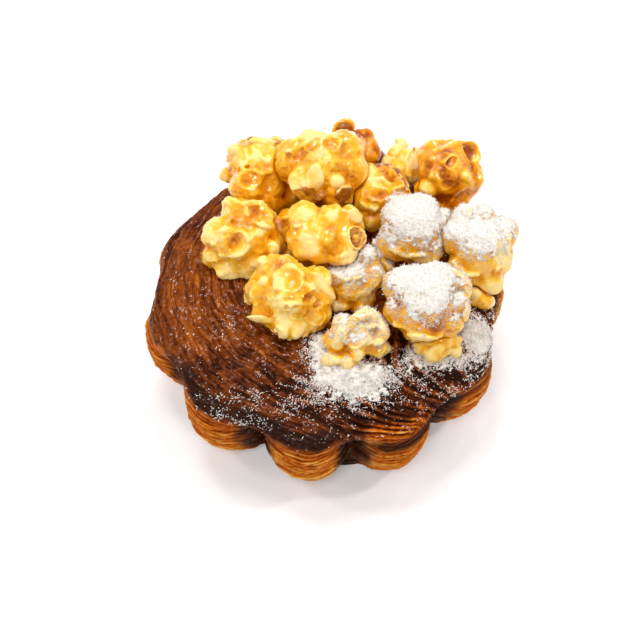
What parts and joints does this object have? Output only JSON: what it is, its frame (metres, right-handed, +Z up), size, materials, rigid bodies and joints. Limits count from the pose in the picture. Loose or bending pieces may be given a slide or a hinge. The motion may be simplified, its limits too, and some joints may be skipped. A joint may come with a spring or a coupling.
{
  "type": "fluted croissant with caramel popcorn",
  "caption": "Laminated croissant baked in a fluted round tin, its rolled top heaped with glazed caramel popcorn and dusted with powdered sugar.",
  "frame": {"origin": "middle of the pastry's flat base", "axes": "+Z up; the popcorn heap lies towards +X and +Y, and the bare, sugar-dusted front of the pastry faces -Y"},
  "size_m": [0.117, 0.1135, 0.0626],
  "materials": {
    "crust": "baked and buttery, satin",
    "caramel_popcorn": "glazed with clear caramel",
    "powdered_sugar": "dry powder and crystals"
  },
  "bodies": {
    "root": {"pastry": "crust", "popcorn_back_left": "caramel_popcorn", "popcorn_crest": "caramel_popcorn", "popcorn_ear": "caramel_popcorn", "popcorn_petal": "caramel_popcorn", "popcorn_glazed": "caramel_popcorn", "popcorn_hull": "caramel_popcorn", "popcorn_left": "caramel_popcorn", "popcorn_swirl": "caramel_popcorn", "popcorn_ball": "caramel_popcorn", "popcorn_tooth": "caramel_popcorn", "popcorn_crater": "caramel_popcorn", "popcorn_saddle": "caramel_popcorn", "popcorn_bun": "caramel_popcorn", "popcorn_fold": "caramel_popcorn", "popcorn_under_bun": "caramel_popcorn", "popcorn_under_tooth": "caramel_popcorn", "popcorn_amber": "caramel_popcorn", "popcorn_link": "caramel_popcorn"}
  },
  "joints": []
}
